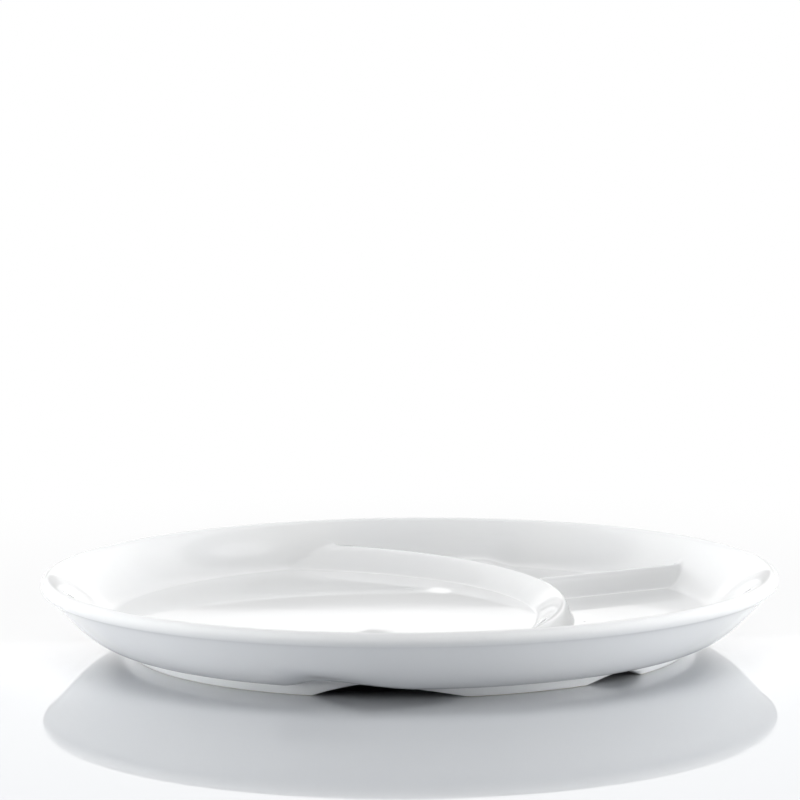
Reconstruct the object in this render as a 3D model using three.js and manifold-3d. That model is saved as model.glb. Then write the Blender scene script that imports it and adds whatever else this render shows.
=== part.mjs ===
// A round dinner plate in thick white glazed porcelain, parted into three wells.
// A long curved divider runs across the floor from the back wall to the front wall,
// and a short straight divider branches off it to the right wall. The rim ends in a
// rolled lip. The plate stands on a foot ring that four arched notches break into
// four pads, so that rinsing water runs out from under it.
//
// Millimetres, +Z up. The origin is on the table under the centre of the plate, the
// front of the plate is towards -Y and its right-hand side towards +X. Angles round
// the plate are in degrees from the front, growing towards the right.

import * as THREE from "three";
import { mergeVertices } from "three/addons/utils/BufferGeometryUtils.js";
import Module from "manifold-3d";

// Driving sizes of the dish
const RIM_RADIUS = 140; // outermost line of the lip
const PLATE_HEIGHT = 29; // table to the crown of the lip
const LIP_RADIUS = 2.7; // of the rolled bead
const LIP_NECK = 1.1; // underside of the bead down to the lip's seat on the wall
const WALL_REACH = 28; // how far the rim stands out beyond the edge of the floor
const FLOOR_HEIGHT = 13; // table to the floor of the wells
const FLOOR_THICKNESS = 5;
const HOLLOW_FILLET = 2.7; // between the underside of the floor and the foot

// Sweep of the wall. The inner face leaves the floor level, rises and runs out on the
// bead. The outer face hangs nearly level under the bead, falls steeply, and turns in
// again towards the crease over the foot.
const BEAD_INNER = 115; // where the inner face meets the bead, in degrees from outwards
const BEAD_OUTER = -80; // where the outer face leaves it
const OUTER_BEAD_PULL = 9.3; // how hard the outer face is drawn in line with the bead
const BELLY = { out: 14.1, down: 1.5 }; // from the crease to the point its belly is drawn to

// Driving sizes of the foot
const FOOT_INSET = 5.5; // from the edge of the floor in to the ring that touches the table
const FOOT_BAND = 3.5; // width of that flat, bare ring
const FOOT_HEIGHT = 4.4; // table to the crease where the wall springs from the foot
const FOOT_SPREAD = 2.5; // how far the crease stands out beyond that ring
const FOOT_TAPER = 5; // how far the foot's inner face slopes in on its way up
const EDGE_ROUNDING = 0.6; // of the two edges of the bare ring
const SEAT_BELOW_ARCH = 0.3; // pads end this far below the crown of the lowest notch

// Notches in the foot ring, as angles and the height of each crown. The two at the
// back repeat the two at the front, half a turn round.
const FRONT_NOTCHES = [
  { from: -19.3, crown: -8.3, to: 11, height: 5.2 },
  { from: 36.3, crown: 46.5, to: 52, height: 3.3 },
];
const ARCH_SWELL = 0.72; // how full the sides of a notch are: 0.5 would make them straight
const CREASE_BITE = 0.2; // how far a notch cuts into the wall beyond the crease

// The crease and the belly over it rise beside the wide notch, on its left
const CREASE_LIFT = { from: -23.5, crown: -16, to: 2, height: 2.5 };
const LIFT_FADE = { from: 9, to: 21 }; // beyond the crease, where the belly stops following

// Driving sizes of the dividers
const DIVIDER_HEIGHT = 7.3; // above the floor
const CREST_ROUNDING = 2.4; // how softly the two flanks meet at the crest
const BASE_FILLET = 1.5; // how softly a flank runs out on the floor
const END_FILLET = 6; // how softly a divider runs up into the wall
const FILLET_FADE = 3; // below this height that fillet shrinks away
const CORNER_FILLET = 4; // how softly the flanks of the two dividers meet
const FLANK_WIDTH = 9.6; // from the crest to the floor, seen from above
const CURVED_CREST = { x: -95.9, y: -19.2, radius: 154 }; // the arc its crest follows
const CURVED_BASE = { x: -71.5, y: -14.9, radius: 120 }; // foot of its left-hand flank
const SHORT_START = { x: 52.2, y: 30.8 }; // on the curved one's shoulder, where its crest begins
const SHORT_TURN = 29.4; // degrees its crest turns to the back from the +X direction

// Room left between two pieces that meet on a curved face
const JOINT_GAP = 0.3;
const TOE = 0.15; // least thickness of a divider at its edges
const DIVE = 8; // how steeply a divider's skin dives under the wall's face

// Facets
const ROUND_STEPS = 96; // round the plate
const CURVE_STEPS = 10; // along one curve of an outline
const ARCH_STEPS = 8; // along one side of a notch
const FILLET_STEPS = 4;
const BEAD_STEP = 22.5; // degrees
const DIVIDER_STEP = 3.5; // along a divider
const FLANK_SHARES = [0.1, 0.2, 0.32, 0.45, 0.6, 0.75, 0.9, 1]; // across a divider's flank
const SAME_POINT = 1e-4; // corners nearer than this are one
const SAME_HEIGHT = 0.05; // points of an outline this near to a seat are left out

// Room past the rim for untrimmed ends and for the tools that cut them
const MARGIN = 25;
const OVERCUT = 1; // how far a cutting tool reaches past a face

// Places worked out from the driving sizes
const floorRadius = RIM_RADIUS - WALL_REACH;
const lip = { r: RIM_RADIUS - LIP_RADIUS, z: PLATE_HEIGHT - LIP_RADIUS };
const lipSeat = PLATE_HEIGHT - 2 * LIP_RADIUS - LIP_NECK;
const footRadius = floorRadius - FOOT_INSET;
const creaseRadius = footRadius + FOOT_SPREAD;
const footInner = footRadius - FOOT_BAND;
const underside = FLOOR_HEIGHT - FLOOR_THICKNESS;
const backNotches = FRONT_NOTCHES.map((n) => ({
  from: n.from + 180,
  crown: n.crown + 180,
  to: n.to + 180,
  height: n.height,
}));
const notches = [...FRONT_NOTCHES, ...backNotches];
const padTop = Math.min(...notches.map((n) => n.height)) - SEAT_BELOW_ARCH;

const radians = THREE.MathUtils.degToRad;
const wasm = await Module();
wasm.setup();

// Solids and meshes

// A closed geometry as a solid. Only positions matter, and triangles that have lost
// their area at a pole are left out.
function solidOf(geometry) {
  const bare = geometry.clone();
  bare.deleteAttribute("normal");
  bare.deleteAttribute("uv");
  const merged = mergeVertices(bare, SAME_POINT);
  const corners = merged.index.array;
  const kept = [];
  for (let i = 0; i < corners.length; i += 3) {
    const [a, b, c] = corners.slice(i, i + 3);
    if (a !== b && b !== c && c !== a) kept.push(a, b, c);
  }
  const vertProperties = merged.attributes.position.array;
  const triVerts = new Uint32Array(kept);
  return new wasm.Manifold(new wasm.Mesh({ numProp: 3, vertProperties, triVerts }));
}

function pieceOf(name, solid, material) {
  const { vertProperties, triVerts } = solid.getMesh();
  const geometry = new THREE.BufferGeometry();
  geometry.setAttribute("position", new THREE.BufferAttribute(vertProperties, 3));
  geometry.setIndex(new THREE.BufferAttribute(triVerts, 1));
  geometry.computeVertexNormals();
  const mesh = new THREE.Mesh(geometry, material);
  mesh.name = name;
  return mesh;
}

// An outline of [radius, height] points turned round the plate's axis. It runs
// anticlockwise where radius points right and height points up. A point's third value,
// if it has one, is the share of the crease's lift that it follows.
function turned(outline) {
  const points = outline.map(([r, z]) => new THREE.Vector2(r, z));
  const geometry = new THREE.LatheGeometry(points, ROUND_STEPS).rotateX(Math.PI / 2);
  const place = geometry.attributes.position;
  for (let i = 0; i < place.count; i += 1) {
    const share = outline[i % outline.length][2] ?? 0;
    const angle = (360 / ROUND_STEPS) * Math.floor(i / outline.length);
    place.setZ(i, place.getZ(i) + share * creaseLift(angle));
  }
  return solidOf(geometry);
}

// A closed skin over a row of sections, each a ring of as many points, with its two
// ends filled in.
function lofted(sections) {
  const count = sections[0].length;
  const last = (sections.length - 1) * count;
  const index = [];
  for (let s = 0; s < sections.length - 1; s += 1) {
    for (let i = 0; i < count; i += 1) {
      const a = s * count + i;
      const b = s * count + ((i + 1) % count);
      index.push(a, b, b + count, a, b + count, a + count);
    }
  }
  for (let i = 1; i < count - 1; i += 1) {
    index.push(0, i + 1, i);
    index.push(last, last + i, last + i + 1);
  }
  const geometry = new THREE.BufferGeometry().setFromPoints(sections.flat());
  geometry.setIndex(index);
  return solidOf(geometry);
}

// Outlines

function alongCurve(start, startPull, endPull, end) {
  const corners = [start, startPull, endPull, end].map(([r, z]) => new THREE.Vector2(r, z));
  const curve = new THREE.CubicBezierCurve(...corners);
  return curve.getPoints(CURVE_STEPS).map((p) => [p.x, p.y]);
}

// Evenly spread values from one to another, no more than a step apart
function spread(from, to, step) {
  const count = Math.ceil(Math.abs(to - from) / step);
  return Array.from({ length: count + 1 }, (_, i) => from + ((to - from) * i) / count);
}

// A point on the lip's bead, at an angle in degrees from the outermost point upwards
const onBead = (angle) => [
  lip.r + LIP_RADIUS * Math.cos(radians(angle)),
  lip.z + LIP_RADIUS * Math.sin(radians(angle)),
];

// A point reached from another by going a distance in a direction given in degrees
const stepFrom = ([r, z], angle, distance) => [
  r + distance * Math.cos(radians(angle)),
  z + distance * Math.sin(radians(angle)),
];

// The corners that the inner face is drawn to lie evenly far apart in radius.
const wallThird = (onBead(BEAD_INNER)[0] - floorRadius) / 3;
const innerFace = alongCurve(
  [floorRadius, FLOOR_HEIGHT],
  [floorRadius + wallThird, FLOOR_HEIGHT],
  stepFrom(onBead(BEAD_INNER), BEAD_INNER + 90, wallThird / Math.cos(radians(BEAD_INNER - 90))),
  onBead(BEAD_INNER),
);
const outerFace = alongCurve(
  onBead(BEAD_OUTER),
  stepFrom(onBead(BEAD_OUTER), BEAD_OUTER - 90, OUTER_BEAD_PULL),
  [creaseRadius + BELLY.out, FOOT_HEIGHT - BELLY.down],
  [creaseRadius, FOOT_HEIGHT],
).map(([r, z]) => [r, z, 1 - THREE.MathUtils.smoothstep(r - creaseRadius, LIFT_FADE.from, LIFT_FADE.to)]);

// How far the crease is lifted at an angle. The back repeats the front.
function creaseLift(angle) {
  const folded = THREE.MathUtils.euclideanModulo(angle + 90, 180) - 90;
  const { from, crown, to, height } = CREASE_LIFT;
  const share = Math.min((folded - from) / (crown - from), (to - folded) / (to - crown));
  return height * THREE.MathUtils.smoothstep(share, 0, 1);
}

// The radius at which an outline that only rises or only falls passes a height
function radiusAt(outline, height) {
  const i = outline.findIndex(([, z], n) => n > 0 && (z - height) * (outline[n - 1][1] - height) <= 0);
  const [[r0, z0], [r1, z1]] = [outline[i - 1], outline[i]];
  return r0 + ((r1 - r0) * (height - z0)) / (z1 - z0);
}

// How high the wall's inner face stands above the floor at a radius
function wallRise(radius) {
  if (radius <= floorRadius) return 0;
  const i = innerFace.findIndex(([r]) => r >= radius);
  if (i < 1) return lip.z - FLOOR_HEIGHT;
  const [[r0, z0], [r1, z1]] = [innerFace[i - 1], innerFace[i]];
  return z0 + ((z1 - z0) * (radius - r0)) / (r1 - r0) - FLOOR_HEIGHT;
}

const below = (outline, height) => outline.filter(([, z]) => z < height - SAME_HEIGHT);
const above = (outline, height) => outline.filter(([, z]) => z > height + SAME_HEIGHT);

// Foot: its outer face leans out from the bare ring to the crease, and its inner face
// leans in to the hollow under the floor.
const footOuterAt = (z) => footRadius + (FOOT_SPREAD * z) / FOOT_HEIGHT;
const footInnerAt = (z) => footInner - (FOOT_TAPER * z) / underside;

// A corner of an outline rounded off between the points where its fillet begins and ends
function fillet(begin, corner, end) {
  const [a, b, c] = [begin, corner, end].map(([r, z]) => new THREE.Vector2(r, z));
  return new THREE.QuadraticBezierCurve(a, b, c).getPoints(FILLET_STEPS).map((p) => [p.x, p.y]);
}

const body = turned([
  [0, underside],
  ...fillet(
    [footInnerAt(underside) - HOLLOW_FILLET, underside],
    [footInnerAt(underside), underside],
    [footInnerAt(underside - HOLLOW_FILLET), underside - HOLLOW_FILLET],
  ),
  [footInnerAt(padTop), padTop],
  [footOuterAt(padTop), padTop],
  ...below(outerFace, lipSeat).reverse(),
  [radiusAt(outerFace, lipSeat), lipSeat],
  [radiusAt(innerFace, lipSeat), lipSeat],
  ...below(innerFace, lipSeat).reverse(),
  [0, FLOOR_HEIGHT],
]);

const beadAngles = [...spread(BEAD_OUTER, 0, BEAD_STEP).slice(1), ...spread(0, 90, BEAD_STEP).slice(1)];
const rolledLip = turned([
  [radiusAt(innerFace, lipSeat), lipSeat],
  [radiusAt(outerFace, lipSeat), lipSeat],
  ...above(outerFace, lipSeat).reverse(),
  ...beadAngles.map(onBead),
  ...above(innerFace, lipSeat).reverse(),
  [radiusAt(innerFace, lipSeat), lipSeat],
]);

// Notches and foot pads

const aroundPlate = (radius, angle, z) =>
  new THREE.Vector3(radius * Math.sin(radians(angle)), -radius * Math.cos(radians(angle)), z);

// What a notch takes away: an arch that bends with the foot ring. Each side of the
// arch swells up from the table to the crown.
function archedCut({ from, crown, to, height }) {
  const inner = footInnerAt(underside) - 2 * HOLLOW_FILLET;
  const outer = creaseRadius + CREASE_BITE;
  const side = (start, end) =>
    new THREE.QuadraticBezierCurve(
      new THREE.Vector2(start, 0),
      new THREE.Vector2((start + end) / 2, ARCH_SWELL * height),
      new THREE.Vector2(end, height),
    ).getPoints(ARCH_STEPS);
  const arch = [...side(from, crown), ...side(to, crown).reverse().slice(1)];
  const sections = arch.map(({ x: angle, y: top }) => [
    aroundPlate(inner, angle, -OVERCUT),
    aroundPlate(inner, angle, top),
    aroundPlate(outer, angle, top),
    aroundPlate(outer, angle, -OVERCUT),
  ]);
  return lofted(sections);
}

// A slice of the space round the foot, between two angles, to pick out one pad
function slice(from, to) {
  const start = aroundPlate(RIM_RADIUS, from, 0);
  const outline = new THREE.Shape();
  outline.moveTo(0, 0);
  outline.lineTo(start.x, start.y);
  outline.absarc(0, 0, RIM_RADIUS, radians(from - 90), radians(to - 90));
  outline.closePath();
  const block = new THREE.ExtrudeGeometry(outline, { depth: FLOOR_HEIGHT, bevelEnabled: false });
  return solidOf(block.translate(0, 0, -OVERCUT));
}

const halfRounding = EDGE_ROUNDING * (1 - Math.SQRT1_2); // off the corner, half way round it
const footRing = turned([
  [footInner + EDGE_ROUNDING, 0],
  [footRadius - EDGE_ROUNDING, 0],
  [footRadius - halfRounding, halfRounding],
  [footOuterAt(EDGE_ROUNDING), EDGE_ROUNDING],
  [footOuterAt(padTop), padTop],
  [footInnerAt(padTop), padTop],
  [footInnerAt(EDGE_ROUNDING), EDGE_ROUNDING],
  [footInner + halfRounding, halfRounding],
  [footInner + EDGE_ROUNDING, 0],
]);

const cuts = notches.map(archedCut);
const without = (solid, tools) => tools.reduce((rest, tool) => rest.subtract(tool), solid);
const brokenRing = without(footRing, cuts);
const padNames = ["foot_pad_front", "foot_pad_right", "foot_pad_back", "foot_pad_left"];
const pads = notches.map((notch, i) => {
  const next = notches[(i + 1) % notches.length];
  const end = next.crown > notch.crown ? next.crown : next.crown + 360;
  return { name: padNames[i], solid: brokenRing.intersect(slice(notch.crown, end)) };
});

// Dividers

// The larger of two values, with the corner between them filled in over a reach of k
function softMax(a, b, k) {
  if (k <= 0) return Math.max(a, b);
  const near = Math.max(k - Math.abs(a - b), 0) / k;
  return Math.max(a, b) + (near ** 3 * k) / 6;
}
const softMin = (a, b, k) => -softMax(-a, -b, k);

// Plan distance from the curved crest. Its left-hand flank widens from the middle of
// the plate towards both walls, because its foot follows an arc of its own.
const baseCentre = { x: CURVED_BASE.x - CURVED_CREST.x, y: CURVED_BASE.y - CURVED_CREST.y };
function leftFlankWidth(turn) {
  const along = baseCentre.x * Math.cos(turn) + baseCentre.y * Math.sin(turn);
  const offset = Math.hypot(baseCentre.x, baseCentre.y);
  return CURVED_CREST.radius - along - Math.sqrt(CURVED_BASE.radius ** 2 - offset ** 2 + along ** 2);
}

// Distances are given as on a flank of the usual width: a wider flank shrinks them.
function fromCurvedCrest(x, y) {
  const [dx, dy] = [x - CURVED_CREST.x, y - CURVED_CREST.y];
  const outside = Math.hypot(dx, dy) - CURVED_CREST.radius;
  if (outside >= 0) return outside;
  return (-outside * FLANK_WIDTH) / leftFlankWidth(Math.atan2(dy, dx));
}

const shortAlong = { x: Math.cos(radians(SHORT_TURN)), y: Math.sin(radians(SHORT_TURN)) };
function fromShortCrest(x, y) {
  const [dx, dy] = [x - SHORT_START.x, y - SHORT_START.y];
  const along = dx * shortAlong.x + dy * shortAlong.y;
  const across = dy * shortAlong.x - dx * shortAlong.y;
  return Math.hypot(Math.min(along, 0), across);
}

// Height of the dividers above the floor. The flanks fall straight from a rounded
// crest into a small fillet at the floor, and where the two dividers meet their flanks
// melt together.
const rounded = (d) => Math.hypot(d, CREST_ROUNDING) - CREST_ROUNDING;
function ridgeRise(x, y) {
  const distance = softMin(fromCurvedCrest(x, y), fromShortCrest(x, y), CORNER_FILLET);
  const rise = DIVIDER_HEIGHT * (1 - rounded(Math.max(distance, 0)) / rounded(FLANK_WIDTH));
  return softMax(rise, 0, BASE_FILLET);
}

// The same height with the dividers run up into the wall. Where they no longer stand
// proud of it, their skin dives under the wall's face, so that the cut that trims them
// there ends in a clean line.
function dividerRise(x, y) {
  const ridge = ridgeRise(x, y);
  const wall = wallRise(Math.hypot(x, y));
  const softness = END_FILLET * Math.min(1, Math.min(ridge, wall) / FILLET_FADE);
  const rise = softMax(ridge, wall, softness);
  const sunk = DIVE * Math.max(0, JOINT_GAP + wall - rise) * Math.min(1, wall);
  return Math.max(rise - sunk, TOE);
}

// One divider from stations along its crest, each with its place, the direction
// across it to the left, and the widths of its two flanks
function divider(stations) {
  const sections = stations.map(({ x, y, acrossX, acrossY, left, right }) => {
    const at = (d, rise) => new THREE.Vector3(x + d * acrossX, y + d * acrossY, FLOOR_HEIGHT + rise);
    const leftward = FLANK_SHARES.map((share) => share * left).reverse();
    const rightward = FLANK_SHARES.map((share) => -share * right);
    const offsets = [...leftward, 0, ...rightward];
    const top = offsets.map((d) => at(d, dividerRise(x + d * acrossX, y + d * acrossY)));
    return [at(0, 0), at(left, 0), ...top, at(-right, 0)];
  });
  return lofted(sections);
}

// The curved crest is followed past the rim at both ends, and the wall trims it.
const beyondRim = RIM_RADIUS + MARGIN;
const crestOffset = Math.hypot(CURVED_CREST.x, CURVED_CREST.y);
const crestMiddle = Math.atan2(-CURVED_CREST.y, -CURVED_CREST.x);
const crestHalfTurn = Math.acos(
  (CURVED_CREST.radius ** 2 + crestOffset ** 2 - beyondRim ** 2) / (2 * CURVED_CREST.radius * crestOffset),
);
const curvedStations = spread(
  crestMiddle - crestHalfTurn,
  crestMiddle + crestHalfTurn,
  DIVIDER_STEP / CURVED_CREST.radius,
).map((turn) => ({
  x: CURVED_CREST.x + CURVED_CREST.radius * Math.cos(turn),
  y: CURVED_CREST.y + CURVED_CREST.radius * Math.sin(turn),
  acrossX: -Math.cos(turn),
  acrossY: -Math.sin(turn),
  left: leftFlankWidth(turn),
  right: FLANK_WIDTH,
}));

const shortLength = beyondRim - Math.hypot(SHORT_START.x, SHORT_START.y);
const shortStations = spread(0, shortLength, DIVIDER_STEP).map((along) => ({
  x: SHORT_START.x + along * shortAlong.x,
  y: SHORT_START.y + along * shortAlong.y,
  acrossX: -shortAlong.y,
  acrossY: shortAlong.x,
  left: FLANK_WIDTH,
  right: FLANK_WIDTH,
}));

// What trims the dividers: the wall and all beyond it, grown by the joint's gap
const grownFace = innerFace.map(([r, z], i) => {
  const before = innerFace[Math.max(i - 1, 0)];
  const after = innerFace[Math.min(i + 1, innerFace.length - 1)];
  const length = Math.hypot(after[0] - before[0], after[1] - before[1]);
  const slope = [(after[0] - before[0]) / length, (after[1] - before[1]) / length];
  return [r - JOINT_GAP * slope[1], z + JOINT_GAP * slope[0]];
});
const far = beyondRim + 2 * MARGIN;
const wallAndBeyond = turned([
  [floorRadius, FLOOR_HEIGHT - OVERCUT],
  [far, FLOOR_HEIGHT - OVERCUT],
  [far, 2 * PLATE_HEIGHT],
  [lip.r, 2 * PLATE_HEIGHT],
  ...grownFace.reverse(),
  [floorRadius, FLOOR_HEIGHT - OVERCUT],
]);

// The short divider starts where the curved one's right-hand flank ends. The spur
// that carries its crest over that flank belongs to the curved one.
const zoneRadius = CURVED_CREST.radius + FLANK_WIDTH + JOINT_GAP;
const curvedZone = solidOf(
  new THREE.CylinderGeometry(zoneRadius, zoneRadius, 4 * PLATE_HEIGHT, 3 * ROUND_STEPS)
    .rotateX(Math.PI / 2)
    .translate(CURVED_CREST.x, CURVED_CREST.y, 0),
);

const curvedDivider = divider(curvedStations).subtract(wallAndBeyond);
const shortDivider = divider(shortStations).subtract(wallAndBeyond).subtract(curvedZone);

// The plate

const glaze = new THREE.MeshStandardMaterial({ color: "#eff1f2", roughness: 0.1, metalness: 0 });
const bareClay = new THREE.MeshStandardMaterial({ color: "#e9e6df", roughness: 0.7, metalness: 0 });

const plate = new THREE.Group();
plate.add(
  pieceOf("plate_body", without(body, cuts), glaze),
  pieceOf("rolled_lip", rolledLip, glaze),
  pieceOf("curved_divider", curvedDivider, glaze),
  pieceOf("short_divider", shortDivider, glaze),
  ...pads.map(({ name, solid }) => pieceOf(name, solid, bareClay)),
);

export default plate;
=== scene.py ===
# A round dinner plate in thick white glazed porcelain, parted into three wells by a long
# curved divider and a short straight one, with a rolled lip and a notched foot ring. It
# stands on a glossy white table.
#
# Metres, +Z up. The origin is on the table under the centre of the plate, the front of
# the plate is towards -Y and its right-hand side towards +X. Angles round the plate are
# in degrees from the front, growing towards the right.

import math

import bmesh
import bpy
from mathutils import Matrix, Vector


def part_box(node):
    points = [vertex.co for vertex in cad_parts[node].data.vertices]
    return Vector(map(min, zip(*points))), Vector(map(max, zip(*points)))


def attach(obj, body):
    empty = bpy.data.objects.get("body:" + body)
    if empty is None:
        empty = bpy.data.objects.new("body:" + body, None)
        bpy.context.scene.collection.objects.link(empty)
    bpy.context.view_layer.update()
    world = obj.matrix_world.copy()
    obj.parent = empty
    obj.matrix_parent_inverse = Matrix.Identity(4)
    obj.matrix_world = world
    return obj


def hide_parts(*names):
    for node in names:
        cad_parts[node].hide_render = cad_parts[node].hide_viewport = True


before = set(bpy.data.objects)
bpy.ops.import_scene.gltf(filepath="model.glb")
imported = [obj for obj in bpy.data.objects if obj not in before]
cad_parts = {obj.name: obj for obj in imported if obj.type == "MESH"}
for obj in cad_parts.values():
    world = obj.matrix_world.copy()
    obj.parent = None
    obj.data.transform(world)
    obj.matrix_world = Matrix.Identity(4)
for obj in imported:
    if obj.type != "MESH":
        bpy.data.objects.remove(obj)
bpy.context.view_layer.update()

scene = bpy.context.scene
MM = 0.001

# Sizes that the frame gives
RIM_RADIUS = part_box("rolled_lip")[1].x
PLATE_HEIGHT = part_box("rolled_lip")[1].z
LIP_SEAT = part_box("rolled_lip")[0].z
FLOOR_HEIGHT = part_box("curved_divider")[0].z
PAD_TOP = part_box("foot_pad_front")[1].z

# Sizes of the dish
LIP_RADIUS = 2.7 * MM
FLOOR_RADIUS = RIM_RADIUS - 28 * MM
FLOOR_THICKNESS = 5 * MM
HOLLOW_FILLET = 2.7 * MM
BEAD_INNER = 107  # where the inner face meets the bead, in degrees from outwards
BEAD_OUTER = -58  # where the outer face leaves it
OUTER_BEAD_PULL = 6 * MM  # how hard the outer face is drawn in line with the bead
BELLY_OUT = 14.1 * MM  # from the crease to the point that the belly is drawn to
BELLY_DOWN = 1.5 * MM
UNDERSIDE = FLOOR_HEIGHT - FLOOR_THICKNESS

# Sizes of the foot
FOOT_RADIUS = FLOOR_RADIUS - 5.5 * MM
FOOT_BAND = 3.5 * MM
FOOT_HEIGHT = 4.4 * MM
FOOT_SPREAD = 2.5 * MM
FOOT_TAPER = 5 * MM
EDGE_ROUNDING = 0.6 * MM
CREASE_GLAZE = 0.45 * MM  # how far the glaze that pools in the crease reaches along each face

# Notches of the foot: where each begins, crowns and ends, in degrees, and its height.
# The same two stand at the back, half a turn round.
WIDE_NOTCH = {"from": -19.3, "crown": -8.3, "to": 11.0, "height": 5.2 * MM}
SMALL_NOTCH = {"from": 36.3, "crown": 46.5, "to": 52.0, "height": 3.3 * MM}
ARCH_SWELL = 0.72  # how full the sides of a notch are: 0.5 would make them straight
ARCH_CORNER = 0.05  # how softly a notch's two sides meet, as a share of its height

# The crease and the belly over it rise beside the wide notch
LIFT = {"from": -23.5, "crown": -16.0, "to": 2.0, "height": 2.5 * MM}
LIFT_CORNER = 0.25
LIFT_FADE_START = 9 * MM  # outside the crease
LIFT_FADE_WIDTH = 12 * MM

# Sizes of the dividers
DIVIDER_HEIGHT = 7.3 * MM
CREST_ROUNDING = 2.4 * MM
BASE_FILLET = 1.0 * MM  # where a flank meets the floor
END_FILLET = 3.2 * MM  # where a divider runs up the wall
FILLET_FADE = 3 * MM  # height over the floor at which that fillet has its full size
CORNER_FILLET = 4 * MM  # where the two dividers meet
FLANK_WIDTH = 9.6 * MM
RIGHT_FLANK_WIDTH = 3.6 * MM  # of the curved divider, which is steeper on that side
SKIN_REACH = 12.2 * MM  # from the crest to where the flank has run out, on a usual flank
CURVED_CREST = Vector((-95.9, -19.2)) * MM  # centre of the curved crest's arc
CURVED_RADIUS = 154 * MM
CURVED_BASE = Vector((-71.5, -14.9)) * MM  # centre of the arc that its left flank ends on
CURVED_BASE_RADIUS = 120 * MM
SHORT_START = Vector((52.2, 30.8)) * MM  # where the short crest begins
SHORT_TURN = math.radians(29.4)  # which way it runs, from +X towards +Y
SKIN_END = 133 * MM  # radius by which both dividers have run up into the wall
DIVIDER_OVERLAP = 0.2 * MM  # how far the short one's skin reaches into the curved one's

# How fine the meshes are
COLUMNS = 600  # round the plate
HOLLOW_STEPS = 8
INNER_FOOT_STEPS = 4
EDGE_STEPS = 5
OUTER_FOOT_STEPS = 7
BELLY_STEPS = 36
BEAD_STEPS = 28
WALL_STEPS = 32
UNDERSIDE_RINGS = (0, 40 * MM, 80 * MM, 94 * MM)
STANDING_RINGS = (0.1, 0.5, 0.9)  # shares of the width of the face that the foot stands on
FLOOR_RINGS = (0.995, 0.98, 0.93, 0.7, 0.35, 0)  # shares of the floor's radius
CURVED_STEPS = 396  # along the curved divider
SHORT_STEPS = 121
BURIED = 0.25 * MM  # how far a divider's skin lies under the wall or floor it has run out on
BED = 0.6 * MM  # how far its underside lies under them
RAISED_LEAST = 0.004 * MM  # skin lower than this over the wall is buried
DIVE = 60  # how steeply it goes under there
SAME_POINT = 0.001 * MM  # points closer than this are merged

# The glaze, and the bare porcelain below it
SPECK = Vector((65.4, -27.6, 13)) * MM  # where the one dark speck is
SPECK_CORE = 0.3 * MM
SPECK_EDGE = 0.6 * MM
CLOUD_WIDTH = 45 * MM
WAVE_WIDTH = 22 * MM
WAVE_HEIGHT = 0.005 * MM
PEEL_WIDTH = 2.4 * MM  # of the orange peel
PEEL_HEIGHT = 0.0003 * MM
GLAZE_ROUGHNESS = 0.03
GLAZE_IOR = 1.5
GLAZE_LINE = 0.4 * MM  # height over the table where the glaze ends, at the highest
WANDER_DEPTH = 0.3 * MM  # how far down that line wanders
WANDER_WIDTH = 9 * MM
LINE_SOFTNESS = 0.1 * MM
BARE_ROUGHNESS = 0.62
GRAIN_WIDTH = 0.6 * MM

# The table. A ring on it is a middle and two radii, between which its look changes.
TABLE_REACH = 12
ACRYLIC_IOR = 1.5
ACRYLIC_ROUGHNESS = 0.02
ACRYLIC_GLOSS = 1.1  # how much more it mirrors than its IOR gives
UNDER_PLATE_PAINTED_SHADOW = ((0, 0, 0), 0.085, 0.112)  # painted shadow: the table is painted nearly black inside this ring, under the plate
MIRRORING = ((0, -0.16, 0), 0.15, 0.23)  # a mirror inside this one, nearly white outside
FADED = ((0, -0.16, 0), 0.3, 0.6)  # all white outside this one
NEARLY_WHITE = 0.85

# The camera
CAMERA_PLACE = (-0.00294, -1.3, 0.23703)
CAMERA_TILT = -0.10963  # from level, in radians
CAMERA_ROLL = -0.00797
CAMERA_LENS = 155.1  # in millimetres

# The lamps. A power is in watts.
BACKDROP_DISTANCE = 1.6
BACKDROP_WIDTH = 3.6
BACKDROP_HEIGHT = 1.1
BACKDROP_POWER = 4.1
STRIP_HEIGHT = 0.17
STRIP_POWER = 0.45
LAMP_EDGE = 0.1708  # how steeply the lower edge of the lamps behind stands over the plate
SIDE_DISTANCE = 1.3
SIDE_WIDTH = 1.8
SIDE_HEIGHT = 0.4
LEFT_POWER = 4
RIGHT_POWER = 5
OVAL_PLACE = Vector((0.64, 0.41, 1.3))
OVAL_LENGTH = 0.5
OVAL_WIDTH = 0.18
OVAL_POWER = 0.25
OVAL_TURN = 56.6  # in degrees

# The surround: light from above, brightest a little towards the camera, and from low down
# at both sides. A higher focus draws the light together.
OVERHEAD = Vector((0, -0.2, 0.98))
OVERHEAD_FOCUS = 8.0
OVERHEAD_STRENGTH = 3.4
SIDE_FOCUS = 5.0
LOW_FOCUS = 12.0
SIDE_STRENGTH = 40.0

# The unlit patch overhead, as it would be on a ceiling one metre up
UNLIT_HALF_WIDTH = 0.72
UNLIT_HALF_DEPTH = 1.22
UNLIT_MIDDLE = -0.6
UNLIT_DIMMING = 0.9
EDGE_SOFTNESS = 0.03

# The dim foot of the backdrop, in shares of the distance to it. Its upper edge bends up.
FOOT_HALF_WIDTH = 0.06
FOOT_BEND = 0.79
FOOT_BEND_END = 0.015
FOOT_SOFTNESS = 0.0006
FOOT_DIMMING = 0.32


# Nodes

COLOUR_A, COLOUR_B, MIXED_COLOUR = 6, 7, 2  # sockets of a Mix node that mixes colours


def add(tree, kind, inputs=None, **settings):
    """Adds a node with its settings. An input is a number or colour, or a link to a socket."""
    node = tree.nodes.new(kind)
    for name, value in settings.items():
        setattr(node, name, value)
    for key, value in (inputs or {}).items():
        if isinstance(value, Amount):
            value = value.socket
        if isinstance(value, bpy.types.NodeSocket):
            tree.links.new(value, node.inputs[key])
        else:
            node.inputs[key].default_value = value
    return node


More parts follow.
